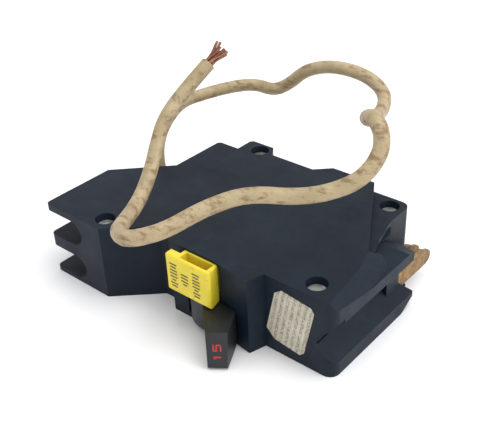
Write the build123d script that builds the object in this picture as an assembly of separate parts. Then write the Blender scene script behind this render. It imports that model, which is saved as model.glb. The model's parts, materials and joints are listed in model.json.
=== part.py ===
from build123d import *
import math
import os

# One-inch plug-on breaker with a built-in ground-fault trip, lying on its side.
# X runs from the load end to the line end, Y from the handle side to the rear,
# Z through the thickness. The origin is under the middle of the case.

# ---- driving dimensions, millimetres -------------------------------------------
LENGTH = 101.6
THICK = 25.4
SPLIT_Z = THICK / 2
SKIN = 2.0
HALF = LENGTH / 2

FRONT_Y = -33.0
LABEL_Y = -20.6
BOSS_Y = -24.3
REAR_Y = 38.6
TAB_TOP = 22.0

SHELF_TOP = 20.3
SHELF_BOTTOM = 16.8
FOOT_TOP = 4.0
SLOT_X = 45.2
SHELF_START = 9.6
SHELF_REAR = 23.0
FOOT_REAR = 23.8
RAMP_TOP = 10.3
RAMP_X = 46.75
RAMP_Z = 8.72
RAMP_REACH = 54.0
RAMP_LOW = 1.34
NOTCH_Y = 10.8
SHOULDERS = [((46.8, -3.2), (0.993, 0.122), 1.3), ((44.3, 5.2), (0.958, 0.285), 0.966)]
TAB_CORNER = 3.0

RIVETS = [(-28.5, -27.7), (-18.2, 34.1), (33.6, 34.1), (41.5, -15.3)]
RIVET_TOPS = [THICK, THICK, TAB_TOP, THICK]
RIVET_RECESS_R = 3.13
RIVET_RECESS_DEPTH = 3.3
RIVET_HEAD_R = 3.0
RIVET_HEAD_H = 1.2
RIVET_SHANK_R = 1.9
RIVET_BOSS_R = 4.4

UPPER_SLOT_Z = 18.75
UPPER_SLOT_R = 4.45
LOWER_SLOT_Z = 5.8
LOWER_SLOT_R = 4.25
TERMINAL_X = -39.4
TERMINAL_FLOOR_Y = -16.0

PIVOT_X = 10.2
PIVOT_Y = -18.4
HUB_R = 9.9
HANDLE_LOW = 0.5
HANDLE_HIGH = 11.9
HANDLE_REACH = 22.6
HANDLE_TIP_HALF = 2.8
HANDLE_ROOT_HALF = 6.5
HANDLE_RAKE = 1.9
HANDLE_ANGLE = -54.0
PIN_R = 1.5
RUNNING = 0.06

BUTTON_X0 = -1.8
BUTTON_X1 = 15.2
BUTTON_Z0 = 12.3
BUTTON_Z1 = 24.6
BUTTON_FRONT = -29.3
BUTTON_TRAVEL = 1.2

BLADE_XS = [42.0, 45.9]
BLADE_T = 1.2
BLADE_TIP_Y = 38.7

WIRE_D = 4.3
WIRE_ROUTE = [
    (-31, -1.5, 16.5), (-37, 4.5, 16.5), (-42.5, 10, 17), (-45, 11, 23),
    (-45, 12, 30), (-48, 19, 34), (-49.2, 28.5, 37.7), (-44.9, 37, 38.8),
    (-38.3, 43.7, 40.7), (-30.3, 47.5, 42.3), (-22.4, 47.7, 41.7), (-17, 49.8, 44.9),
    (-11.7, 51.2, 50.4), (-3.8, 52.2, 53.5), (5.5, 52.5, 54.4), (14.1, 52.1, 53.3),
    (20.8, 49.6, 50.6), (24.8, 41.8, 49.3), (28.3, 31, 51.7), (32.7, 20.9, 56.6),
    (38.4, 10.7, 62.9), (44.2, 4.7, 66.9), (48.2, 2.3, 65.1), (50.4, -1.1, 61),
    (49.2, -6.9, 56.4), (44, -11.5, 52.9), (36, -16, 50.4), (26, -24, 51.9),
    (19.9, -32.9, 49.9), (16.4, -41.8, 47.5), (14.4, -46.4, 46.9), (9.8, -51.2, 46),
    (3.4, -48.9, 44.4), (-2.6, -41.7, 41.2), (-8, -33.9, 38.6), (-12.3, -26.1, 38.4),
    (-15.7, -18.7, 41.8), (-17.6, -13.6, 47.5), (-18.8, -8.5, 53.9), (-18, 0, 60),
    (-16, 9, 66),
]
STRAND_R = 0.38
STRAND_LENGTH = 6.6
STRAND_COUNT = 7
CRIMP_LENGTH = 5.5

HUB_LOW = 2.3
FAN_X0 = 1.3
FAN_X1 = 21.2
PIN_SEAT = 0.9
BARRIER_Z = 12.25
BARRIER_T = 0.8
BOARD_TOP = 15.0
STEM_END_Y = -18.8
TEST_LEAF_Y = -16.7
TEST_STOP_Y = -12.4
TEST_SPRING_R = 2.2

ARM_X = -2.0
ARM_Y = 10.0
ARM_PIN_R = 1.2
STRAP_Y = 5.0
STRAP_T = 1.2
CRADLE_X = -8.4
CRADLE_Y = 18.0
LATCH_X = -20.0
LATCH_Y = -1.2
LATCH_PIN_R = 0.8
BIMETAL_Y = -6.0

TOROID_X = -20.0
TOROID_Y = 12.0
TOROID_INNER = 4.2
TOROID_OUTER = 8.2
CONDUCTOR_R = 1.1
SOLENOID_Y = -12.0
SOLENOID_Z = 18.3
PLUNGER_R = 1.6

LUG_FRONT_Y = -17.6
SCREW_R = 1.9
SCREW_HEAD_Y = -22.6
SCREW_END_Y = -10.4


# ---- helpers -------------------------------------------------------------------
def prism(points, low, high):
    face = make_face(Polyline(*points, close=True))
    return Pos(0, 0, low) * extrude(face, high - low)


def block(x0, x1, y0, y1, z0, z1):
    centre = Pos((x0 + x1) / 2, (y0 + y1) / 2, (z0 + z1) / 2)
    return centre * Box(x1 - x0, y1 - y0, z1 - z0)


def post(x, y, z0, z1, radius):
    return Pos(x, y, (z0 + z1) / 2) * Cylinder(radius, z1 - z0)


def rod_y(x, y0, y1, z, radius):
    return Pos(x, (y0 + y1) / 2, z) * Rot(90, 0, 0) * Cylinder(radius, y1 - y0)


def rod_x(x0, x1, y, z, radius):
    return Pos((x0 + x1) / 2, y, z) * Rot(0, 90, 0) * Cylinder(radius, x1 - x0)


def ring(x, y, z0, z1, inner, outer):
    return post(x, y, z0, z1, outer) - post(x, y, z0 - 1, z1 + 1, inner)


def rod_between(start, end, radius):
    line = Line(start, end)
    return sweep(Plane(start, z_dir=line % 0) * Circle(radius), path=line)


def coil(x, y, z, direction, length, radius, wire_radius, turns):
    pitch = length / turns
    path = Helix(pitch, length, radius)
    start = Plane(path @ 0, z_dir=path % 0)
    spring = sweep(start * Circle(wire_radius), path=path, is_frenet=True)
    return Location(Plane((x, y, z), z_dir=direction)) * spring


# ---- case ----------------------------------------------------------------------
def outline_left():
    """Front, load end and rear of the case, from the boss round to the rear edge."""
    return [
        (26.0, -26.0), (19.5, -25.1), (11.7, -24.4), (-4.8, -24.4), (-9.1, LABEL_Y),
        (-12.3, LABEL_Y), (-25.9, FRONT_Y), *corner_arc(1.7 - HALF, FRONT_Y + 1.7, 1.7, 270, 180, 4),
        (-HALF, -6.6), (-34.3, 9.4), (-34.0, 29.7), (-33.0, 30.7), (-25.3, 30.7),
        (-25.3, 37.2), (-24.3, REAR_Y - 0.4), (-15.6, REAR_Y - 0.4), (-12.7, 34.0),
        (4.2, 33.9), (9.2, REAR_Y),
    ]


def corner_arc(cx, cy, radius, start, end, steps):
    arc = []
    for i in range(steps + 1):
        angle = math.radians(start + (end - start) * i / steps)
        arc.append((cx + radius * math.cos(angle), cy + radius * math.sin(angle)))
    return arc


def tab_corner():
    return corner_arc(38.6 - TAB_CORNER, REAR_Y - TAB_CORNER, TAB_CORNER, 90, 0, 5)


def front_right():
    """Line-end corner of the label face, back to the step beside the boss."""
    return corner_arc(HALF - 3.2, LABEL_Y + 3.2, 3.2, 0, -90, 6) + [(27.7, LABEL_Y)]


def deck_outline():
    """Highest level of the case: it stops at the oblique edge above the shelf."""
    slope = [(25.1, REAR_Y), (44.3, 5.2), (45.8, SHELF_START), (HALF, SHELF_START)]
    return outline_left() + slope + front_right()


def shoulder_cuts():
    """Two slopes that take the deck down to the shelf's outer edge."""
    cuts = []
    for (x, y), (nx, ny), drop in SHOULDERS:
        plane = Plane((x, y, THICK), z_dir=(nx * drop, ny * drop, 1))
        cuts.append(plane * Pos(0, 0, 20) * Box(120, 120, 40))
    return cuts


def core_outline():
    """Main block below the deck, with the rear tab and the wall behind the stab slot."""
    tab = tab_corner() + [(38.6, 26.7), (40.8, 23.0), (40.8, 10.5), (SLOT_X, 6.0)]
    return outline_left() + tab + [(SLOT_X, LABEL_Y), (27.7, LABEL_Y)]


def tab_outline():
    """The tab level between the deck's oblique edge and the shelf."""
    return outline_left() + tab_corner() + [
        (38.6, 26.7), (40.9, 16.6), (44.3, 8.4), (44.9, 5.0), (SLOT_X, LABEL_Y), (27.7, LABEL_Y),
    ]


def plate_outline(rear):
    """Outline of the shelf and of the foot, which reach the line end."""
    return outline_left() + tab_corner() + [
        (38.6, 26.7), (40.8, rear), (46.6, rear), (HALF - 0.8, rear - 1.7), (HALF, rear - 3.0),
    ] + front_right()


def cavity_outline():
    return [
        (-33.0, -30.8), (-26.8, -30.8), (-13.1, -18.4), (-8.2, -18.4), (-4.0, -22.2),
        (11.7, -22.2), (23.8, -23.4), (25.5, -18.4), (43.0, -18.4), (43.0, 4.8),
        (38.4, 9.2), (38.4, 23.0), (36.4, 26.2), (36.4, 36.4), (10.1, 36.4),
        (5.1, 31.7), (-13.9, 31.8), (-16.7, 36.0), (-23.1, 36.0), (-23.1, 28.5),
        (-31.8, 28.5), (-31.8, 8.5), (-33.0, 7.4),
    ]


def deck_cavity_outline():
    """Inside of the deck level, which stops short of the oblique edge."""
    return [
        (-33.0, -30.8), (-26.8, -30.8), (-13.1, -18.4), (-8.2, -18.4), (-4.0, -22.2),
        (11.7, -22.2), (23.8, -23.4), (25.5, -18.4), (43.0, -18.4), (43.0, 2.0),
        (22.7, 36.4), (10.1, 36.4), (5.1, 31.7), (-13.9, 31.8), (-16.7, 36.0),
        (-23.1, 36.0), (-23.1, 28.5), (-31.8, 28.5), (-31.8, 8.5), (-33.0, 7.4),
    ]


def terminal_slot(z, radius):
    """Round-ended slot open to the load end and to the front, for one wire."""
    end = rod_y(TERMINAL_X, FRONT_Y - 2, TERMINAL_FLOOR_Y, z, radius)
    run = block(-HALF - 2, TERMINAL_X, FRONT_Y - 2, TERMINAL_FLOOR_Y, z - radius, z + radius)
    return end + run


def lug_passage(z):
    """Opening in the inner wall where a load lug passes into the case."""
    return block(-38.5, -32.5, TERMINAL_FLOOR_Y - 2.2, TERMINAL_FLOOR_Y, z - 3.6, z + 3.6)


def along_y(points, y0, y1):
    """Solid with an outline in X and Z, running from y0 to y1."""
    face = make_face(Polyline(*points, close=True))
    return Pos(0, y1, 0) * extrude(Plane.XZ * face, y1 - y0)


def stab_slot():
    """Gap between shelf and foot over a sloping lower jaw, with its flared front."""
    front = along_y([
        (SLOT_X, RAMP_TOP), (RAMP_REACH, RAMP_LOW), (RAMP_REACH, SHELF_BOTTOM), (SLOT_X, SHELF_BOTTOM),
    ], LABEL_Y + 5.0, NOTCH_Y)
    rear = along_y([
        (40.8, FOOT_TOP), (RAMP_X, FOOT_TOP), (RAMP_X, RAMP_Z), (RAMP_REACH, RAMP_LOW),
        (RAMP_REACH, SHELF_BOTTOM), (40.8, SHELF_BOTTOM),
    ], NOTCH_Y, 26.0)
    behind = prism([
        (38.6, REAR_Y + 3), (38.6, 26.7), (40.8, 23.0), (40.8, 10.5), (SLOT_X, 6.0),
        (SLOT_X, NOTCH_Y), (RAMP_X, NOTCH_Y), (RAMP_X, REAR_Y + 3),
    ], FOOT_TOP, SHELF_BOTTOM)
    mouth = along_y([
        (45.5, 10.0), (RAMP_REACH, RAMP_LOW), (RAMP_REACH, 18.2), (51.0, 18.2), (45.5, 12.9),
    ], LABEL_Y - 2, LABEL_Y + 5.1)
    return front + rear + behind + mouth


def foot_rear_cut():
    """The foot ends in an oblique edge that also rises from below."""
    behind = prism([(46.7, 17.4), (51.5, 22.1), (54.0, 22.1), (54.0, 40.0), (46.7, 40.0)], -1, 10.4)
    profile = make_face(Polyline((14.8, 0), (14.8, -1), (24.3, -1), (24.3, 5.0), close=True))
    return behind + Pos(46.7, 0, 0) * extrude(Plane.YZ * profile, 6)


def shelf_chamfer():
    """The shelf's rear edge slopes down."""
    profile = make_face(Polyline((17.4, SHELF_TOP), (24.0, SHELF_TOP), (24.0, 17.6), close=True))
    return Pos(40.85, 0, 0) * extrude(Plane.YZ * profile, 12)


def rivet_cuts():
    cuts = []
    for (x, y), top in zip(RIVETS, RIVET_TOPS):
        cuts.append(post(x, y, -1, THICK + 1, RIVET_SHANK_R + 0.1))
        cuts.append(post(x, y, top - RIVET_RECESS_DEPTH, THICK + 1, RIVET_RECESS_R))
        cuts.append(post(x, y, -1, RIVET_RECESS_DEPTH, RIVET_RECESS_R))
    return cuts


def rivet_bosses(low, high):
    bosses = []
    for x, y in RIVETS:
        bosses.append(post(x, y, low, high, RIVET_BOSS_R))
    return bosses


def wire_hole():
    start = Vector(*WIRE_ROUTE[0])
    along = (Vector(*WIRE_ROUTE[1]) - start).normalized()
    near = start + along * 0.5
    far = start + along * 16.0
    return rod_between(near, far, WIRE_D / 2 + 0.25)


def handle_opening():
    """Slot in the front of the lower half that the handle swings in."""
    hub = post(PIVOT_X, PIVOT_Y, SKIN, SPLIT_Z + 1, HUB_R + 0.4)
    fan = prism([
        (FAN_X0, -20.4), (FAN_X0, -34.0), (FAN_X1, -34.0), (FAN_X1, -20.4),
    ], SKIN, SPLIT_Z + 1)
    return hub + fan


def button_opening():
    """Opening for the button's stem, with a shallow recess for its rear face."""
    stem = block(BUTTON_X0 + 3.0, BUTTON_X1 - 1.4, -30, -20, BUTTON_Z0 + 1.4, BUTTON_Z1 - 1.4)
    rear = BOSS_Y + BUTTON_TRAVEL + 0.3
    recess = block(BUTTON_X0 + 3.2, BUTTON_X1 - 0.3, -30, rear, SPLIT_Z - 1, BUTTON_Z1 + 0.25)
    return stem + recess


def stab_passage():
    """Opening in the slot's wall where the stab's tang passes."""
    return block(37.6, 42.0, 10.8, 13.0, 5.2, 9.8)


def rivet_housings(outline, low, high):
    """Bosses round the rivets, kept inside the case outline."""
    limit = prism(outline, low, high)
    housings = []
    for boss in rivet_bosses(low, high):
        housings.append(boss & limit)
    return housings


def lower_case():
    shell = prism(core_outline(), 0, SPLIT_Z) + prism(plate_outline(FOOT_REAR), 0, RAMP_TOP)
    shell -= prism(cavity_outline(), SKIN, SPLIT_Z + 1)
    for boss in rivet_housings(core_outline(), SKIN - 0.5, SPLIT_Z):
        shell += boss
    shell -= stab_slot()
    shell += block(RAMP_X, RAMP_X + 1.0, NOTCH_Y - 0.1, 17.2, 7.0, 12.9)
    shell -= foot_rear_cut()
    shell -= terminal_slot(LOWER_SLOT_Z, LOWER_SLOT_R)
    shell -= lug_passage(LOWER_SLOT_Z)
    shell -= handle_opening()
    shell -= stab_passage()
    shell -= rod_y(TERMINAL_X, TERMINAL_FLOOR_Y - 1, SCREW_END_Y + 0.6, LOWER_SLOT_Z, SCREW_R + 0.3)
    shell -= post(PIVOT_X, PIVOT_Y, PIN_SEAT, SKIN + 1, PIN_R + 0.02)
    shell -= post(ARM_X, ARM_Y, PIN_SEAT, SKIN + 1, ARM_PIN_R + 0.02)
    shell -= post(CRADLE_X, CRADLE_Y, PIN_SEAT, SKIN + 1, ARM_PIN_R + 0.02)
    shell -= post(LATCH_X, LATCH_Y, PIN_SEAT, SKIN + 1, LATCH_PIN_R + 0.02)
    for cut in rivet_cuts():
        shell -= cut
    return shell


def upper_case():
    deck = prism(deck_outline(), SPLIT_Z, THICK)
    for cut in shoulder_cuts():
        deck -= cut
    shell = deck + prism(tab_outline(), SPLIT_Z, TAB_TOP)
    shell += prism(plate_outline(SHELF_REAR), SPLIT_Z, SHELF_TOP) - shelf_chamfer()
    shell -= prism(cavity_outline(), SPLIT_Z - 1, TAB_TOP - SKIN)
    shell -= prism(deck_cavity_outline(), TAB_TOP - SKIN - 0.1, THICK - SKIN)
    for boss in rivet_housings(core_outline(), SPLIT_Z, TAB_TOP - 0.4):
        shell += boss
    for boss in rivet_housings(deck_outline(), TAB_TOP - 0.4, THICK - 0.5):
        shell += boss
    shell -= stab_slot()
    shell -= terminal_slot(UPPER_SLOT_Z, UPPER_SLOT_R)
    shell -= lug_passage(UPPER_SLOT_Z)
    shell -= button_opening()
    shell -= rod_y(TERMINAL_X, TERMINAL_FLOOR_Y - 1, SCREW_END_Y + 0.6, UPPER_SLOT_Z, SCREW_R + 0.3)
    shell -= wire_hole()
    for cut in rivet_cuts():
        shell -= cut
    return shell


def mid_barrier():
    """Insulating sheet between the breaker mechanism and the ground-fault module."""
    face = offset(make_face(Polyline(*cavity_outline(), close=True)), amount=-0.4)
    sheet = Pos(0, 0, BARRIER_Z) * extrude(face, BARRIER_T)
    for x, y in RIVETS:
        sheet -= post(x, y, 0, THICK, RIVET_BOSS_R + 0.3)
    sheet -= post(TOROID_X, TOROID_Y, 0, THICK, TOROID_INNER)
    return sheet.solids().sort_by(SortBy.VOLUME)[-1]


def case_rivets():
    rivets = []
    for (x, y), top in zip(RIVETS, RIVET_TOPS):
        low = RIVET_RECESS_DEPTH
        high = top - RIVET_RECESS_DEPTH
        shank = post(x, y, low, high, RIVET_SHANK_R)
        upper_head = post(x, y, high, high + RIVET_HEAD_H, RIVET_HEAD_R)
        lower_head = post(x, y, low - RIVET_HEAD_H, low, RIVET_HEAD_R)
        upper_head = fillet(upper_head.edges().group_by(Axis.Z)[-1], 0.5)
        rivets.append(shank + upper_head + lower_head)
    return Compound(children=[rivet.solid() for rivet in rivets])


# ---- handle and test button ----------------------------------------------------
def handle():
    """Round hub with a tapered toggle, drawn pointing along +X and then turned."""
    hub = post(0, 0, HUB_LOW, HANDLE_HIGH, HUB_R)
    slope = (HANDLE_ROOT_HALF - HANDLE_TIP_HALF) / HANDLE_REACH
    step = HUB_R + 3.2
    step_half = HANDLE_ROOT_HALF - slope * step
    root = prism([
        (0, -HANDLE_ROOT_HALF), (HANDLE_REACH, -HANDLE_TIP_HALF),
        (HANDLE_REACH, HANDLE_TIP_HALF), (0, HANDLE_ROOT_HALF),
    ], HUB_LOW, HANDLE_HIGH)
    toe = prism([
        (step, -step_half), (HANDLE_REACH, -HANDLE_TIP_HALF),
        (HANDLE_REACH, HANDLE_TIP_HALF), (step, step_half),
    ], HANDLE_LOW, HUB_LOW + 0.1)
    grip = root + toe
    rake = make_face(Polyline(
        (HANDLE_REACH - HANDLE_RAKE, HANDLE_HIGH), (HANDLE_REACH + 2, HANDLE_HIGH + 1),
        (HANDLE_REACH + 2, HANDLE_LOW), (HANDLE_REACH, HANDLE_LOW), close=True,
    ))
    grip -= Pos(0, 20, 0) * extrude(Plane.XZ * rake, 40)
    grip = fillet(grip.edges().group_by(Axis.X)[-1], 0.4)
    horn = prism([(-13.0, -1.6), (-8.0, -2.6), (-8.0, 2.6), (-13.0, 1.6)], 4.0, 8.8)
    lever = hub + grip + horn - post(0, 0, 0, THICK, PIN_R + RUNNING)
    return Pos(PIVOT_X, PIVOT_Y, 0) * Rot(0, 0, HANDLE_ANGLE) * lever


def handle_pin():
    return post(PIVOT_X, PIVOT_Y, PIN_SEAT, BARRIER_Z, PIN_R)


def test_button():
    """Cap with a pocket in its upper side, a shallower left margin and a stem."""
    rear = BOSS_Y - 0.1
    cap = prism([
        (BUTTON_X0, BUTTON_FRONT), (BUTTON_X1, BUTTON_FRONT), (BUTTON_X1 - 1.1, rear), (BUTTON_X0, rear),
    ], BUTTON_Z0, BUTTON_Z1)
    cap = fillet(cap.edges().group_by(Axis.Y)[0], 0.9)
    cap -= block(BUTTON_X0 - 1, BUTTON_X0 + 3.6, rear - 1.9, rear + 1, BUTTON_Z0 - 1, BUTTON_Z1 + 1)
    cap -= block(BUTTON_X0 + 4.8, BUTTON_X1 - 1.9, BUTTON_FRONT + 1.3, rear - 0.6,
                 BUTTON_Z0 + 3.2, BUTTON_Z1 + 1)
    stem = block(BUTTON_X0 + 3.6, BUTTON_X1 - 2.0, rear, STEM_END_Y, BUTTON_Z0 + 2.0, BUTTON_Z1 - 2.0)
    return cap + stem


def test_blade():
    """Copper contact on the end of the button's stem."""
    return block(8.4, 11.8, STEM_END_Y, STEM_END_Y + 0.8, 15.6, 20.6)


def test_spring():
    """Return spring between the button's stem and the stop plate of the leaf."""
    start = STEM_END_Y + 0.35
    return coil(4.6, start, 18.4, (0, 1, 0), TEST_STOP_Y - 0.35 - start, TEST_SPRING_R, 0.3, 6)


def test_contact():
    """Leaf that the button's blade touches, with the spring's stop and a leg to the board."""
    leaf = block(7.6, 12.0, TEST_LEAF_Y, TEST_LEAF_Y + 0.6, 15.2, 21.4)
    web = block(7.6, 8.2, TEST_LEAF_Y, TEST_STOP_Y + 0.6, 15.2, 21.4)
    stop = block(1.6, 8.2, TEST_STOP_Y, TEST_STOP_Y + 0.6, 15.2, 21.4)
    leg = block(11.4, 12.0, TEST_LEAF_Y, 5.6, 15.2, 18.2)
    foot = block(11.4, 15.0, 5.0, 5.6, BOARD_TOP, 18.2)
    return leaf + web + stop + leg + foot


# ---- contacts and stab ---------------------------------------------------------
def contact_arm():
    bar = prism([
        (-5.4, 8.0), (2.0, 7.6), (22.0, 9.4), (28.0, 9.4), (28.0, 11.8), (22.0, 12.2),
        (2.0, 12.6), (-5.4, 12.0),
    ], 5.4, 8.6)
    return bar - post(ARM_X, ARM_Y, 0, THICK, ARM_PIN_R + RUNNING)


def moving_contact():
    return block(24.4, 27.6, 7.9, 9.4, 5.6, 8.4)


def arm_pin():
    return post(ARM_X, ARM_Y, PIN_SEAT, BARRIER_Z, ARM_PIN_R)


def mechanism_spring():
    return coil(9.0, 12.95, 7.0, (0, 1, 0), 19.6, 2.0, 0.35, 17)


def fixed_contact():
    return block(24.4, 27.6, STRAP_Y + STRAP_T, 7.85, 5.6, 8.4)


def blade(x):
    """One stab blade: level lower edge, round lower corner, sloping beak above."""
    profile = make_face(Polyline(
        (12.0, 4.3), (36.4, 4.3), (38.2, 4.9), (38.8, 6.2), (BLADE_TIP_Y, 8.0), (37.4, 9.1),
        (35.0, 10.2), (31.6, 12.4), (12.0, 12.4), close=True,
    ))
    plate = extrude(Plane.YZ * profile, BLADE_T)
    return Pos(x - BLADE_T / 2, 0, 0) * plate


def line_stab():
    """Pair of plug-on blades, joined by a bridge, with a tang and the contact strap."""
    stab = blade(BLADE_XS[0]) + blade(BLADE_XS[1])
    left = BLADE_XS[0] - BLADE_T / 2
    right = BLADE_XS[1] + BLADE_T / 2
    stab += block(left, right, 11.3, 12.5, 4.3, 12.4)
    stab += block(36.9, left + 0.2, 11.3, 12.5, 5.5, 9.5)
    stab += block(36.9, 36.9 + BLADE_T, STRAP_Y, 12.5, 5.5, 9.5)
    stab += block(23.4, 36.9 + BLADE_T, STRAP_Y, STRAP_Y + STRAP_T, 5.5, 9.5)
    return stab


def stab_spring():
    """Steel leaf that hooks round the stab's bridge and backs the inner blade."""
    leaf = block(40.85, 41.35, 10.65, 28.0, 9.8, 12.2)
    hook = block(40.85, 44.6, 10.65, 11.25, 9.8, 12.2)
    return leaf + hook


def arc_plates():
    plates = []
    for i in range(5):
        y = 9.6 + 2.3 * i
        plate = block(29.4, 35.8, y, y + 0.8, 3.0, 11.6)
        plate -= block(29.0, 32.4, y - 1, y + 2, 5.4, 9.2)
        plates.append(plate)
    return Compound(children=[plate.solid() for plate in plates])


def arc_board():
    return block(29.4, 35.8, 20.6, 21.4, 2.6, 11.8)


# ---- trip mechanism ------------------------------------------------------------
def cradle():
    bar = prism([
        (CRADLE_X - 2.4, CRADLE_Y + 2.4), (CRADLE_X + 2.4, CRADLE_Y + 2.4),
        (-4.2, 8.0), (-2.4, 0.4), (-4.8, 0.2), (-8.6, 8.0),
    ], 9.2, 11.6)
    return bar - post(CRADLE_X, CRADLE_Y, 0, THICK, ARM_PIN_R + RUNNING)


def cradle_pin():
    return post(CRADLE_X, CRADLE_Y, PIN_SEAT, BARRIER_Z, ARM_PIN_R)


def armature():
    """Hinged steel plate that holds the cradle until it is pulled."""
    plate = block(LATCH_X, -4.0, LATCH_Y - 1.4, LATCH_Y - 0.2, 4.6, 11.2)
    knuckle = post(LATCH_X, LATCH_Y, 4.6, 11.2, 1.8)
    return plate + knuckle - post(LATCH_X, LATCH_Y, 0, THICK, LATCH_PIN_R + RUNNING)


def latch_pin():
    return post(LATCH_X, LATCH_Y, PIN_SEAT, BARRIER_Z, LATCH_PIN_R)


def bimetal():
    return block(-28.6, -5.2, BIMETAL_Y - 0.45, BIMETAL_Y + 0.45, 5.0, 10.0)


def bimetal_bracket():
    upright = block(-30.0, -28.6, -12.0, -4.0, 5.0, 11.0)
    ear = block(-28.6, -21.0, -12.0, -10.6, 5.0, 10.0)
    return upright + ear - rod_y(-24.6, -13, -9, 7.2, 1.56)


def calibration_screw():
    shank = rod_y(-24.6, -13.6, BIMETAL_Y - 0.5, 7.2, 1.5)
    head = rod_y(-24.6, -15.4, -13.6, 7.2, 2.4)
    return shank + head - block(-28, -21, -16, -14.8, 6.9, 7.5)


def magnet_yoke():
    back = block(-18.0, -10.0, BIMETAL_Y - 3.4, BIMETAL_Y - 2.2, 2.4, 11.9)
    lower = block(-18.0, -10.0, BIMETAL_Y - 2.2, BIMETAL_Y + 1.8, 2.4, 3.6)
    upper = block(-18.0, -10.0, BIMETAL_Y - 2.2, BIMETAL_Y + 1.8, 10.7, 11.9)
    return back + lower + upper


def tube_along(points, bend, radius):
    """Round conductor along straight runs joined by bends."""
    path = FilletPolyline(*points, radius=bend)
    return sweep(Plane(path @ 0, z_dir=path % 0) * Circle(radius), path=path)


def flexible_braid():
    route = [(-5.1, BIMETAL_Y, 6.4), (-1.4, BIMETAL_Y, 6.4), (-0.6, -0.4, 6.4), (-3.2, 4.2, 6.4),
             (-3.2, 7.5, 6.4)]
    return tube_along(route, 1.5, 0.9)


# ---- ground-fault module -------------------------------------------------------
def circuit_board():
    board = prism([
        (-31.0, 9.6), (-29.6, 2.4), (24.0, 2.4), (24.0, 27.4), (-31.0, 27.4),
    ], BOARD_TOP - 1.4, BOARD_TOP)
    board -= post(TOROID_X, TOROID_Y, 0, THICK, TOROID_INNER)
    return board


def toroid_core():
    return ring(TOROID_X, TOROID_Y, BOARD_TOP + 1.3, BOARD_TOP + 3.9, TOROID_INNER + 1.2, TOROID_OUTER - 1.2)


def toroid_case():
    """Potting case that encloses the sensing transformer's core and winding."""
    case = ring(TOROID_X, TOROID_Y, BOARD_TOP, BOARD_TOP + 5.2, TOROID_INNER, TOROID_OUTER)
    low = BOARD_TOP + 1.2
    inner = ring(TOROID_X, TOROID_Y, low, low + 2.8, TOROID_INNER + 1.1, TOROID_OUTER - 1.1)
    return case - inner


def hot_conductor():
    """From the bimetal up through the sensing transformer to the hot lug."""
    route = [
        (-29.3, -4.0, 7.4), (-29.3, 6.0, 7.4), (-21.9, TOROID_Y, 7.4), (-21.9, TOROID_Y, 21.9),
        (-28.6, -3.0, 21.9), (-31.6, -9.4, UPPER_SLOT_Z), (-31.6, TERMINAL_FLOOR_Y, UPPER_SLOT_Z),
    ]
    return tube_along(route, 1.8, CONDUCTOR_R)


def neutral_conductor():
    """From the pigtail's crimp through the sensing transformer down to the neutral lug."""
    start = crimp_end()
    along = (start - Vector(*WIRE_ROUTE[0])).normalized()
    lead = start + along * 3.0
    route = [
        (start.X, start.Y, start.Z), (lead.X, lead.Y, lead.Z), (-24.2, -4.6, 21.9),
        (-18.1, TOROID_Y, 21.9), (-18.1, TOROID_Y, 3.4), (-26.0, 1.4, 3.4),
        (-31.9, -4.0, 3.4), (-31.9, -10.6, LOWER_SLOT_Z), (-31.9, TERMINAL_FLOOR_Y, LOWER_SLOT_Z),
    ]
    return tube_along(route, 1.2, CONDUCTOR_R)


def solenoid_bobbin():
    """Spool with two flanges and a bore for the plunger."""
    tube = rod_x(-22.0, -9.0, SOLENOID_Y, SOLENOID_Z, 2.6)
    left = block(-23.0, -22.0, SOLENOID_Y - 4.6, SOLENOID_Y + 4.6, SOLENOID_Z - 4.6, SOLENOID_Z + 4.6)
    right = block(-9.0, -8.0, SOLENOID_Y - 4.6, SOLENOID_Y + 4.6, SOLENOID_Z - 4.6, SOLENOID_Z + 4.6)
    return tube + left + right - rod_x(-30, 0, SOLENOID_Y, SOLENOID_Z, PLUNGER_R + RUNNING)


def solenoid_winding():
    outer = rod_x(-22.0, -9.0, SOLENOID_Y, SOLENOID_Z, 4.4)
    return outer - rod_x(-23.0, -8.0, SOLENOID_Y, SOLENOID_Z, 2.6)


def solenoid_plunger():
    rod = rod_x(-24.6, -4.6, SOLENOID_Y, SOLENOID_Z, PLUNGER_R)
    return rod + rod_x(-4.6, -3.0, SOLENOID_Y, SOLENOID_Z, 3.0)


def chip():
    body = block(-4.0, 8.0, 14.0, 20.4, BOARD_TOP, BOARD_TOP + 3.4)
    return body - post(-2.6, 17.2, BOARD_TOP + 3.0, THICK, 0.8)


def capacitors():
    tall = post(-8.0, 7.0, BOARD_TOP, BOARD_TOP + 7.6, 3.2)
    short = post(17.6, 8.0, BOARD_TOP, BOARD_TOP + 6.4, 2.8)
    film = block(-10.4, -6.4, 20.0, 26.0, BOARD_TOP, BOARD_TOP + 5.6)
    return Compound(children=[tall.solid(), short.solid(), film.solid()])


def resistors():
    bodies = []
    for i in range(4):
        y = 14.4 + 3.0 * i
        bodies.append(rod_x(13.0, 19.4, y, BOARD_TOP + 1.2, 1.15).solid())
    return Compound(children=bodies)


def varistor():
    return rod_y(3.0, 22.8, 25.6, BOARD_TOP + 4.0, 3.8)


def thyristor():
    return block(-2.0, 2.6, 5.0, 8.4, BOARD_TOP, BOARD_TOP + 4.6)


# ---- terminals -----------------------------------------------------------------
def load_lug(z):
    plate = block(-48.0, -30.4, LUG_FRONT_Y, TERMINAL_FLOOR_Y, z - 3.4, z + 3.4)
    return plate - rod_y(TERMINAL_X, LUG_FRONT_Y - 1, TERMINAL_FLOOR_Y + 1, z, SCREW_R + RUNNING)


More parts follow.
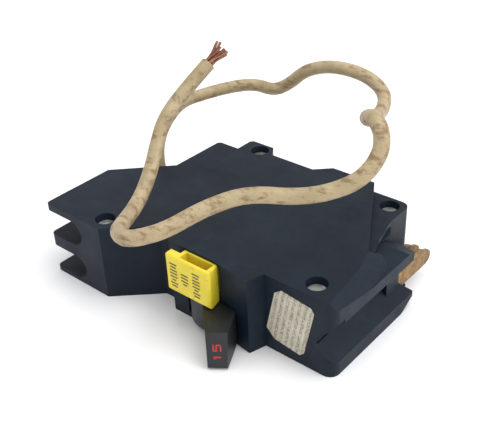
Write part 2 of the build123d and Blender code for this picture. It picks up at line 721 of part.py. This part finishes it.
def terminal_screw(z):
    head = rod_y(TERMINAL_X, SCREW_HEAD_Y, SCREW_HEAD_Y + 2.2, z, 3.6)
    shank = rod_y(TERMINAL_X, SCREW_HEAD_Y + 2.2, SCREW_END_Y, z, SCREW_R)
    slot = block(TERMINAL_X - 5, TERMINAL_X + 5, SCREW_HEAD_Y - 1, SCREW_HEAD_Y + 1.1, z - 0.5, z + 0.5)
    return head + shank - slot


# ---- pigtail -------------------------------------------------------------------
def route_radii(points):
    """Largest bend that the two runs beside each corner leave room for."""
    radii = []
    for before, corner, after in zip(points, points[1:], points[2:]):
        run_in = Vector(*corner) - Vector(*before)
        run_out = Vector(*after) - Vector(*corner)
        turn = math.radians(run_in.get_angle(run_out))
        shorter = min(run_in.length, run_out.length)
        radii.append(0.45 * shorter / math.tan(turn / 2))
    return radii


def neutral_wire():
    radii = route_radii(WIRE_ROUTE)
    path = FilletPolyline(*WIRE_ROUTE, radius=radii)
    tube = sweep(Plane(path @ 0, z_dir=path % 0) * Circle(WIRE_D / 2), path=path)
    section = math.pi * (WIRE_D / 2) ** 2
    print("wire radii", [round(radius, 1) for radius in radii])
    print("wire length", round(path.length, 1), "volume ratio", round(tube.volume / (path.length * section), 4))
    return tube


def wire_strands():
    """Bare strands that fan out of the cut end of the insulation."""
    end = Vector(*WIRE_ROUTE[-1])
    along = (end - Vector(*WIRE_ROUTE[-2])).normalized()
    plane = Plane(end, z_dir=along)
    strands = []
    for i in range(STRAND_COUNT):
        angle = math.radians(360 * i / STRAND_COUNT)
        start = plane.from_local_coords((1.0 * math.cos(angle), 1.0 * math.sin(angle), 0.1))
        spread = 1.5 + 0.5 * (i % 3)
        reach = STRAND_LENGTH - 0.7 * (i % 2)
        tip = plane.from_local_coords((spread * math.cos(angle), spread * math.sin(angle), reach))
        strands.append(rod_between(start, tip, STRAND_R).solid())
    return Compound(children=strands)


def crimp_end():
    start = Vector(*WIRE_ROUTE[0])
    along = (Vector(*WIRE_ROUTE[1]) - start).normalized()
    return start - along * CRIMP_LENGTH


def wire_crimp():
    return rod_between(Vector(*WIRE_ROUTE[0]), crimp_end(), WIRE_D / 2 + 0.3)


# ---- labels --------------------------------------------------------------------
def label(points, front):
    face = make_face(Polyline(*points, close=True))
    face = fillet(face.vertices(), 0.5)
    return Plane.XZ.offset(-front) * extrude(face, 0.15)


def label_lower():
    return label([
        (28.2, 7.4), (30.9, 4.5), (39.8, 3.2), (41.2, 4.5), (44.5, 19.9), (43.5, 21.3),
        (33.7, 22.6), (31.3, 20.9),
    ], LABEL_Y)


def label_upper():
    return label([
        (28.7, 7.6), (31.1, 5.0), (39.1, 3.9), (40.3, 5.0), (43.4, 19.6), (42.4, 20.8),
        (33.8, 22.1), (31.9, 20.7),
    ], LABEL_Y - 0.16)


PARTS = {
    "lower_case": lower_case,
    "upper_case": upper_case,
    "mid_barrier": mid_barrier,
    "case_rivets": case_rivets,
    "handle": handle,
    "handle_pin": handle_pin,
    "test_button": test_button,
    "test_blade": test_blade,
    "test_spring": test_spring,
    "test_contact": test_contact,
    "contact_arm": contact_arm,
    "moving_contact": moving_contact,
    "arm_pin": arm_pin,
    "mechanism_spring": mechanism_spring,
    "fixed_contact": fixed_contact,
    "line_stab": line_stab,
    "stab_spring": stab_spring,
    "arc_plates": arc_plates,
    "arc_board": arc_board,
    "cradle": cradle,
    "cradle_pin": cradle_pin,
    "armature": armature,
    "latch_pin": latch_pin,
    "bimetal": bimetal,
    "bimetal_bracket": bimetal_bracket,
    "calibration_screw": calibration_screw,
    "magnet_yoke": magnet_yoke,
    "flexible_braid": flexible_braid,
    "circuit_board": circuit_board,
    "toroid_core": toroid_core,
    "toroid_case": toroid_case,
    "hot_conductor": hot_conductor,
    "neutral_conductor": neutral_conductor,
    "solenoid_bobbin": solenoid_bobbin,
    "solenoid_winding": solenoid_winding,
    "solenoid_plunger": solenoid_plunger,
    "chip": chip,
    "capacitors": capacitors,
    "resistors": resistors,
    "varistor": varistor,
    "thyristor": thyristor,
    "hot_lug": lambda: load_lug(UPPER_SLOT_Z),
    "neutral_lug": lambda: load_lug(LOWER_SLOT_Z),
    "hot_screw": lambda: terminal_screw(UPPER_SLOT_Z),
    "neutral_screw": lambda: terminal_screw(LOWER_SLOT_Z),
    "neutral_wire": neutral_wire,
    "wire_strands": wire_strands,
    "wire_crimp": wire_crimp,
    "label_lower": label_lower,
    "label_upper": label_upper,
}


os.makedirs("parts", exist_ok=True)
for name, make in PARTS.items():
    export_step(make(), f"parts/{name}.step")
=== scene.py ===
import json
import math
import random

import bmesh
import bpy
from mathutils import Matrix, Vector


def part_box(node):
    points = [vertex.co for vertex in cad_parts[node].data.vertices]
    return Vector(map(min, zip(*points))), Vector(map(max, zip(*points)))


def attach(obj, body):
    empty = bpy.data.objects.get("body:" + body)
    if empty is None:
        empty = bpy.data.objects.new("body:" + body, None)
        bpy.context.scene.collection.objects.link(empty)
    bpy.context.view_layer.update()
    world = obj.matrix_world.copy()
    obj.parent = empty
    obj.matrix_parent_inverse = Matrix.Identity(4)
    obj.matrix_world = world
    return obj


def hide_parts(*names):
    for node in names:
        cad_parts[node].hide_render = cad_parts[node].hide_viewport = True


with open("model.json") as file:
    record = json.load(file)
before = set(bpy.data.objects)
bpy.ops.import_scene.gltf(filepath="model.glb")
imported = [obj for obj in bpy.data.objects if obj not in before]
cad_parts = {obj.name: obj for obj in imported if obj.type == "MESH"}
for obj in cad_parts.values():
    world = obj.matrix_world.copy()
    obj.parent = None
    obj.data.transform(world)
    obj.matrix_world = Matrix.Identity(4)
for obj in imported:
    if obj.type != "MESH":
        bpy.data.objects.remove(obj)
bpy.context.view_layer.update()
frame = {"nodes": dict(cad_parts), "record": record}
nodes = frame["nodes"]
MM = 0.001


def srgb(r, g, b):
    """Linear colour from 0-255 display values."""
    out = []
    for v in (r, g, b):
        c = v / 255
        out.append(c / 12.92 if c <= 0.04045 else ((c + 0.055) / 1.055) ** 2.4)
    return (*out, 1.0)


# ---- camera and light ----------------------------------------------------------
AZIMUTH = math.radians(41.885)
ELEVATION = math.radians(32.076)
ROLL = math.radians(-2.841)
CAMERA_AT = Vector((0.14135, -0.15568, 0.15667))


def make_camera():
    level = math.cos(ELEVATION)
    back = Vector((math.sin(AZIMUTH) * level, -math.cos(AZIMUTH) * level, math.sin(ELEVATION)))
    right = Vector((math.cos(AZIMUTH), math.sin(AZIMUTH), 0))
    up = right.cross(-back)
    side = math.cos(ROLL) * right + math.sin(ROLL) * up
    top = -math.sin(ROLL) * right + math.cos(ROLL) * up
    data = bpy.data.cameras.new("camera")
    data.sensor_width = 36
    data.lens = 60.873
    data.clip_start = 0.005
    camera = bpy.data.objects.new("camera", data)
    camera.matrix_world = Matrix.Translation(CAMERA_AT) @ Matrix((side, top, back)).transposed().to_4x4()
    bpy.context.scene.collection.objects.link(camera)
    bpy.context.scene.camera = camera


def area_light(name, at, towards, size, power, colour=(1, 1, 1)):
    data = bpy.data.lights.new(name, "AREA")
    data.shape = "RECTANGLE"
    data.size, data.size_y = size
    data.energy = power
    data.color = colour
    light = bpy.data.objects.new(name, data)
    light.location = at
    light.rotation_euler = (Vector(towards) - Vector(at)).to_track_quat("-Z", "Y").to_euler()
    bpy.context.scene.collection.objects.link(light)


def make_stage():
    world = bpy.data.worlds.new("world")
    bpy.context.scene.world = world
    world.use_nodes = True
    background = world.node_tree.nodes["Background"]
    background.inputs["Color"].default_value = (1.0, 1.0, 1.0, 1)
    background.inputs["Strength"].default_value = 0.85
    bpy.context.scene.view_settings.view_transform = "Standard"
    area_light("overhead", (0.10, 0.06, 0.60), (0, 0, 0), (0.45, 0.45), 1.9)
    area_light("right_fill", (0.65, 0.15, 0.35), (0, 0, 0.01), (0.5, 0.4), 1.8)
    mesh = bpy.data.meshes.new("floor")
    half = 1.5
    corners = [(-half, -half, 0), (half, -half, 0), (half, half, 0), (-half, half, 0)]
    mesh.from_pydata(corners, [], [(0, 1, 2, 3)])
    floor = bpy.data.objects.new("floor", mesh)
    floor.location.z = -0.00005
    bpy.context.scene.collection.objects.link(floor)
    paper = Finish("floor_paper")
    paper.set("Roughness", 0.9)
    paper.colour(paper.noise(6, 2), (0, srgb(246, 247, 249)), (1, srgb(250, 250, 252)))
    floor.data.materials.append(paper.material)


# ---- procedural materials ------------------------------------------------------
class Finish:
    """A node material built up from noise, ramps and bump."""

    def __init__(self, name):
        self.material = bpy.data.materials.new(name)
        self.material.use_nodes = True
        self.tree = self.material.node_tree
        self.shader = self.tree.nodes["Principled BSDF"]
        self.position = self.tree.nodes.new("ShaderNodeTexCoord").outputs["Object"]

    def node(self, kind, **inputs):
        made = self.tree.nodes.new(kind)
        for name, value in inputs.items():
            made.inputs[name.replace("_", " ")].default_value = value
        return made

    def link(self, source, target):
        self.tree.links.new(source, target)

    def set(self, socket, value):
        self.shader.inputs[socket].default_value = value

    def stretched(self, scale, turn=(0, 0, 0)):
        mapping = self.node("ShaderNodeMapping")
        mapping.inputs["Scale"].default_value = scale
        mapping.inputs["Rotation"].default_value = turn
        self.link(self.position, mapping.inputs["Vector"])
        return mapping.outputs["Vector"]

    def noise(self, scale, detail=3.0, roughness=0.55, vector=None, distortion=0.0):
        made = self.node(
            "ShaderNodeTexNoise", Scale=scale, Detail=detail, Roughness=roughness, Distortion=distortion)
        self.link(vector or self.position, made.inputs["Vector"])
        return made.outputs["Fac"]

    def ramp(self, value, *stops):
        made = self.tree.nodes.new("ShaderNodeValToRGB")
        elements = made.color_ramp.elements
        while len(elements) < len(stops):
            elements.new(0.5)
        for element, (place, colour) in zip(elements, stops):
            element.position = place
            element.color = colour if hasattr(colour, "__len__") else (colour, colour, colour, 1)
        self.link(value, made.inputs["Fac"])
        return made.outputs["Color"]

    def mix(self, factor, first, second):
        made = self.tree.nodes.new("ShaderNodeMix")
        made.data_type = "RGBA"
        self.link(factor, made.inputs[0])
        for socket, value in ((made.inputs[6], first), (made.inputs[7], second)):
            if hasattr(value, "is_linked"):
                self.link(value, socket)
            else:
                socket.default_value = value
        return made.outputs[2]

    def math(self, kind, first, second):
        made = self.tree.nodes.new("ShaderNodeMath")
        made.operation = kind
        for socket, value in zip(made.inputs, (first, second)):
            if hasattr(value, "is_linked"):
                self.link(value, socket)
            else:
                socket.default_value = value
        return made.outputs[0]

    def colour(self, value, *stops):
        result = self.ramp(value, *stops)
        self.link(result, self.shader.inputs["Base Color"])
        return result

    def rough(self, value, low, high):
        self.link(self.ramp(value, (0.3, low), (0.7, high)), self.shader.inputs["Roughness"])

    def bump(self, height, strength, distance):
        made = self.node("ShaderNodeBump", Strength=strength, Distance=distance)
        self.link(height, made.inputs["Height"])
        self.link(made.outputs["Normal"], self.shader.inputs["Normal"])


def plastic(name, dark, light, low, high, grain=900, depth=0.00003, specular=0.5):
    """Moulded plastic with faint blotches and a fine grain."""
    finish = Finish(name)
    blotches = finish.noise(90, 4, 0.6)
    finish.colour(blotches, (0.3, dark), (0.7, light))
    finish.rough(finish.noise(260, 3), low, high)
    finish.bump(finish.noise(grain, 2), 0.35, depth)
    finish.set("Specular IOR Level", specular)
    return finish.material


def metal(name, dark, light, low, high, scratch=(1, 1, 6), metallic=1.0):
    """Metal with a patchy tarnish and fine scratches along one direction."""
    finish = Finish(name)
    patches = finish.noise(420, 5, 0.65, distortion=0.6)
    finish.colour(patches, (0.32, dark), (0.68, light))
    lines = finish.noise(1500, 2, vector=finish.stretched(scratch))
    finish.rough(lines, low, high)
    finish.bump(lines, 0.3, 0.00003)
    finish.set("Metallic", metallic)
    return finish.material


def case_material():
    """Near-black moulded phenolic with smudges, dust and fine scratches."""
    finish = Finish("case_phenolic")
    body = finish.ramp(finish.noise(45, 5, 0.6), (0.3, srgb(10, 20, 32)), (0.75, srgb(19, 31, 45)))
    smudge = finish.ramp(finish.noise(70, 6, 0.72, distortion=1.2), (0.58, 0.0), (0.80, 0.45))
    body = finish.mix(smudge, body, srgb(36, 50, 62))
    specks = finish.ramp(finish.noise(2600, 2, 0.5), (0.73, 0.0), (0.79, 0.55))
    body = finish.mix(specks, body, srgb(112, 116, 118))
    lines = finish.noise(420, 4, 0.6, vector=finish.stretched((1.0, 0.05, 1.0), (0, 0, 0.5)))
    scratches = finish.ramp(lines, (0.74, 0.0), (0.79, 0.3))
    body = finish.mix(scratches, body, srgb(84, 90, 98))
    finish.link(body, finish.shader.inputs["Base Color"])
    finish.rough(finish.noise(120, 5, 0.6), 0.40, 0.58)
    grain = finish.noise(3200, 2)
    finish.bump(grain, 0.25, 0.00002)
    finish.set("Specular IOR Level", 0.2)
    return finish.material


def wire_material():
    """Aged cream insulation with brown streaks and specks."""
    finish = Finish("wire_insulation")
    base = finish.ramp(finish.noise(120, 4), (0.3, srgb(154, 136, 102)), (0.7, srgb(182, 165, 130)))
    streaks = finish.noise(330, 6, 0.7, vector=finish.stretched((0.45, 1.0, 1.6)))
    stain = finish.ramp(streaks, (0.50, 0.0), (0.62, 0.85))
    base = finish.mix(stain, base, srgb(124, 96, 62))
    specks = finish.ramp(finish.noise(1500, 4, 0.65), (0.63, 0.0), (0.72, 0.8))
    base = finish.mix(specks, base, srgb(74, 52, 34))
    finish.link(base, finish.shader.inputs["Base Color"])
    finish.rough(finish.noise(400, 3), 0.38, 0.6)
    finish.bump(finish.noise(700, 4), 0.5, 0.00012)
    return finish.material


def button_material():
    finish = Finish("button_plastic")
    base = finish.ramp(finish.noise(140, 4), (0.3, srgb(222, 200, 44)), (0.7, srgb(234, 214, 64)))
    grime = finish.ramp(finish.noise(300, 6, 0.7, distortion=0.8), (0.58, 0.0), (0.74, 0.7))
    base = finish.mix(grime, base, srgb(168, 128, 40))
    finish.link(base, finish.shader.inputs["Base Color"])
    finish.rough(finish.noise(350, 3), 0.35, 0.55)
    finish.bump(finish.noise(1400, 3), 0.3, 0.00003)
    return finish.material


def label_material():
    """Worn paper label with rows of illegible print."""
    finish = Finish("label_paper")
    paper = finish.ramp(finish.noise(160, 5, 0.65), (0.3, srgb(182, 175, 156)), (0.7, srgb(208, 202, 184)))
    rows = finish.node("ShaderNodeTexWave", Scale=165, Distortion=0.5, Detail=2)
    rows.bands_direction = "X"
    finish.link(finish.stretched((1, 1, 1), (0, -0.2, 0)), rows.inputs["Vector"])
    words = finish.noise(3000, 2, vector=finish.stretched((1, 1, 0.5)))
    ink = finish.math("MULTIPLY", finish.ramp(rows.outputs["Fac"], (0.40, 0.0), (0.5, 1.0)),
                      finish.ramp(words, (0.42, 0.0), (0.54, 0.6)))
    paper = finish.mix(ink, paper, srgb(88, 86, 80))
    stain = finish.ramp(finish.noise(230, 5, 0.7), (0.6, 0.0), (0.72, 0.6))
    paper = finish.mix(stain, paper, srgb(120, 100, 72))
    finish.link(paper, finish.shader.inputs["Base Color"])
    finish.set("Roughness", 0.6)
    finish.bump(finish.noise(500, 4), 0.4, 0.0001)
    return finish.material


MATERIALS = {
    "phenolic": case_material(),
    "fibre": plastic("fibre_sheet", srgb(120, 100, 74), srgb(146, 124, 92), 0.7, 0.85),
    "rivet_steel": metal("rivet_steel", srgb(168, 170, 166), srgb(214, 216, 212), 0.35, 0.55),
    "handle_black": plastic("handle_plastic", srgb(17, 21, 24), srgb(28, 33, 37), 0.38, 0.55),
    "pin_steel": metal("pin_steel", srgb(150, 152, 156), srgb(196, 198, 202), 0.22, 0.4),
    "button_yellow": button_material(),
    "copper": metal("copper_parts", srgb(150, 84, 56), srgb(206, 128, 92), 0.3, 0.5),
    "spring_steel": metal("spring_steel", srgb(112, 112, 114), srgb(160, 160, 162), 0.3, 0.5),
    "contact_silver": metal("contact_silver", srgb(180, 180, 176), srgb(222, 222, 218), 0.3, 0.5),
    "stab_brass": metal("stab_brass", srgb(96, 76, 52), srgb(178, 142, 92), 0.35, 0.6),
    "arc_steel": metal("zinc_steel", srgb(132, 134, 136), srgb(178, 180, 182), 0.3, 0.5),
    "bimetal_strip": metal("bimetal_strip", srgb(150, 140, 126), srgb(188, 178, 162), 0.3, 0.5),
    "screw_brass": metal("screw_brass", srgb(160, 128, 70), srgb(208, 172, 104), 0.25, 0.45),
    "board_green": plastic("board_green", srgb(24, 84, 44), srgb(34, 104, 56), 0.35, 0.5),
    "ferrite": plastic("ferrite", srgb(46, 46, 50), srgb(62, 62, 66), 0.5, 0.7),
    "potting_black": plastic("potting_black", srgb(24, 24, 26), srgb(36, 36, 38), 0.5, 0.7),
    "insulation_black": plastic("insulation_black", srgb(22, 22, 22), srgb(34, 34, 34), 0.35, 0.5),
    "wire_cream": wire_material(),
    "nylon_white": plastic("nylon_white", srgb(208, 206, 196), srgb(226, 224, 216), 0.4, 0.55),
    "magnet_wire": metal("magnet_wire", srgb(120, 52, 24), srgb(172, 84, 40), 0.25, 0.4, (8, 1, 1)),
    "capacitor_blue": plastic("capacitor_blue", srgb(26, 60, 128), srgb(36, 76, 150), 0.25, 0.4),
    "resistor_tan": plastic("resistor_tan", srgb(186, 160, 118), srgb(204, 180, 138), 0.35, 0.5),
    "varistor_orange": plastic("varistor_orange", srgb(190, 84, 20), srgb(212, 104, 32), 0.25, 0.4),
    "terminal_screw": metal("terminal_screw", srgb(140, 132, 112), srgb(190, 182, 160), 0.3, 0.5),
    "strand_copper": metal(
        "strand_copper", srgb(104, 66, 52), srgb(176, 122, 100), 0.35, 0.6, (1, 1, 1), 0.75),
    "crimp_tin": metal("crimp_tin", srgb(170, 170, 166), srgb(206, 206, 202), 0.3, 0.45),
    "label_beige": label_material(),
}


def finish_cad_nodes():
    slots = {row["node"]: row["material_slot"] for row in frame["record"]["subparts"]}
    for name, obj in nodes.items():
        obj.data.materials.clear()
        obj.data.materials.append(MATERIALS[slots[name]])


def soften_edges(name, width, segments=2, angle=35):
    """Small rounded edges, which moulded and pressed parts have."""
    obj = nodes[name]
    weld = obj.modifiers.new("weld", "WELD")
    weld.merge_threshold = 0.00001
    bevel = obj.modifiers.new("bevel", "BEVEL")
    bevel.width = width
    bevel.segments = segments
    bevel.limit_method = "ANGLE"
    bevel.angle_limit = math.radians(angle)
    bevel.harden_normals = True


# ---- neutral pigtail -----------------------------------------------------------
WIRE_D = 4.3
WIRE_ROUTE = [
    (-31, -1.5, 16.5), (-37, 4.5, 16.5), (-42.5, 10, 17), (-45, 11, 23),
    (-45, 12, 30), (-48, 19, 34), (-49.2, 28.5, 37.7), (-44.9, 37, 38.8),
    (-38.3, 43.7, 40.7), (-30.3, 47.5, 42.3), (-22.4, 47.7, 41.7), (-17, 49.8, 44.9),
    (-11.7, 51.2, 50.4), (-3.8, 52.2, 53.5), (5.5, 52.5, 54.4), (14.1, 52.1, 53.3),
    (20.8, 49.6, 50.6), (24.8, 41.8, 49.3), (28.3, 31, 51.7), (32.7, 20.9, 56.6),
    (38.4, 10.7, 62.9), (44.2, 4.7, 66.9), (48.2, 2.3, 65.1), (50.4, -1.1, 61),
    (49.2, -6.9, 56.4), (44, -11.5, 52.9), (36, -16, 50.4), (26, -24, 51.9),
    (19.9, -32.9, 49.9), (16.4, -41.8, 47.5), (14.4, -46.4, 46.9), (9.8, -51.2, 46),
    (3.4, -48.9, 44.4), (-2.6, -41.7, 41.2), (-8, -33.9, 38.6), (-12.3, -26.1, 38.4),
    (-15.7, -18.7, 41.8), (-17.6, -13.6, 47.5), (-18.8, -8.5, 53.9), (-18, 0, 60),
    (-16, 9, 66),
]
STRANDS = 11
STRAND_REACH = 7.2
STRAND_R = 0.38


def nurbs(points, name, radius):
    data = bpy.data.curves.new(name, "CURVE")
    data.dimensions = "3D"
    data.bevel_depth = radius
    data.bevel_resolution = 6
    data.use_fill_caps = True
    spline = data.splines.new("NURBS")
    spline.points.add(len(points) - 1)
    for point, at in zip(spline.points, points):
        point.co = (*at, 1)
    spline.order_u = 3
    spline.use_endpoint_u = True
    spline.resolution_u = 14
    return data


def make_strands():
    """Bare copper strands fanning out of the cut end, each a little bent."""
    rng = random.Random(7)
    end = Vector(WIRE_ROUTE[-1]) * MM
    along = (end - Vector(WIRE_ROUTE[-2]) * MM).normalized()
    side = along.cross(Vector((0, 0, 1))).normalized()
    other = along.cross(side)
    data = bpy.data.curves.new("copper_strands", "CURVE")
    data.dimensions = "3D"
    data.bevel_depth = STRAND_R * MM
    data.bevel_resolution = 3
    data.use_fill_caps = True
    for i in range(STRANDS):
        angle = 2 * math.pi * i / STRANDS + rng.uniform(-0.2, 0.2)
        inner = 1.1 * MM if i % 3 else 0.4 * MM
        spread = rng.uniform(0.6, 2.0) * MM
        reach = STRAND_REACH * rng.uniform(0.72, 1.0) * MM
        direction = math.cos(angle) * side + math.sin(angle) * other
        twist = math.cos(angle + 0.9) * side + math.sin(angle + 0.9) * other
        points = [
            end - along * 0.6 * MM + direction * inner,
            end + along * 0.25 * reach + direction * inner,
            end + along * 0.6 * reach + twist * (inner + 0.35 * spread),
            end + along * reach + twist * (inner + spread),
        ]
        spline = data.splines.new("NURBS")
        spline.points.add(len(points) - 1)
        for point, at in zip(spline.points, points):
            point.co = (*at, 1)
        spline.order_u = 3
        spline.use_endpoint_u = True
    obj = bpy.data.objects.new("copper_strands", data)
    bpy.context.scene.collection.objects.link(obj)
    obj.data.materials.append(MATERIALS["strand_copper"])
    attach(obj, "housing")
    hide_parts("wire_strands")
    return obj


def make_wire(strands):
    points = [tuple(v * MM for v in at) for at in WIRE_ROUTE]
    data = nurbs(points, "pigtail", WIRE_D / 2 * MM)
    obj = bpy.data.objects.new("pigtail", data)
    bpy.context.scene.collection.objects.link(obj)
    obj.data.materials.append(MATERIALS["wire_cream"])
    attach(obj, "housing")
    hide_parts("neutral_wire")


# ---- markings ------------------------------------------------------------------
# The toggle's end face, in millimetres: the foot of the face is its furthest edge.
HANDLE_PIVOT = (10.2, -18.4)
HANDLE_ANGLE = math.radians(-54)
HANDLE_REACH = 22.6
HANDLE_LOW = 0.5
HANDLE_HIGH = 11.9
HANDLE_RAKE = 1.9
DASH_HALF = 1.4
DASH_PITCH = 2.2


def solid_strokes(name, strokes, origin, across, up, depth, body, material):
    """Raised flat strokes: each is a quadrilateral in the plane of across and up, in mm."""
    mesh = bmesh.new()
    outward = Vector(across).cross(Vector(up)).normalized()
    for stroke in strokes:
        base = [Vector(origin) + Vector(across) * x * MM + Vector(up) * y * MM for x, y in stroke]
        low = [mesh.verts.new(p - outward * depth * 0.5 * MM) for p in base]
        high = [mesh.verts.new(p + outward * depth * MM) for p in base]
        mesh.faces.new(list(reversed(low)))
        mesh.faces.new(high)
        for i in range(len(base)):
            j = (i + 1) % len(base)
            mesh.faces.new((low[i], low[j], high[j], high[i]))
    bmesh.ops.recalc_face_normals(mesh, faces=mesh.faces)
    data = bpy.data.meshes.new(name)
    mesh.to_mesh(data)
    mesh.free()
    obj = bpy.data.objects.new(name, data)
    bpy.context.scene.collection.objects.link(obj)
    obj.data.materials.append(material)
    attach(obj, body)
    return obj


def bar(x0, x1, y0, y1):
    return [(x0, y0), (x1, y0), (x1, y1), (x0, y1)]


def button_marks():
    """Three columns of plain paired dashes on the button's front, with no meaning."""
    low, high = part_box("test_button")
    height = (high.z - low.z) / MM
    columns = [(3.2, 4), (7.5, 2), (11.9, 4)]
    strokes = []
    for x, count in columns:
        for i in range(count):
            z = height / 2 + (i - (count - 1) / 2) * DASH_PITCH
            half = DASH_HALF - 0.3 * ((i + count) % 3)
            strokes.append(bar(x - DASH_HALF, x + DASH_HALF, z + 0.3, z + 0.75))
            strokes.append(bar(x - half, x + half, z - 0.75, z - 0.3))
    ink = plastic("button_ink", srgb(52, 46, 26), srgb(76, 68, 38), 0.5, 0.65)
    solid_strokes("button_marks", strokes, low, (1, 0, 0), (0, 0, 1), 0.04, "button", ink)


def rating_number():
    """The generic number 15 on the toggle's slanted end, reading along +Z."""
    direction = Vector((math.cos(HANDLE_ANGLE), math.sin(HANDLE_ANGLE), 0))
    foot = Vector((*HANDLE_PIVOT, HANDLE_LOW)) * MM + direction * HANDLE_REACH * MM
    across = (Vector((0, 0, HANDLE_HIGH - HANDLE_LOW)) - direction * HANDLE_RAKE).normalized()
    up = Vector((direction.y, -direction.x, 0))
    strokes = [
        bar(3.5, 4.0, -1.0, 1.0),
        [(3.05, 0.45), (3.5, 0.7), (3.5, 1.0), (3.05, 0.8)],
        bar(5.6, 7.8, 0.8, 1.2),
        bar(5.6, 6.0, 0.0, 0.8),
        bar(6.0, 7.4, 0.0, 0.38),
        bar(7.4, 7.85, -0.9, 0.3),
        bar(5.6, 7.4, -1.2, -0.82),
    ]
    red = plastic("rating_red", srgb(176, 34, 34), srgb(204, 52, 46), 0.45, 0.6)
    solid_strokes("rating_number", strokes, foot, across, up, 0.05, "toggle", red)


make_camera()
make_stage()
finish_cad_nodes()
make_wire(make_strands())
for case_node in ("lower_case", "upper_case"):
    soften_edges(case_node, 0.28 * MM)
soften_edges("test_button", 0.25 * MM)
soften_edges("handle", 0.3 * MM)
soften_edges("case_rivets", 0.2 * MM)
soften_edges("line_stab", 0.15 * MM)
button_marks()
rating_number()
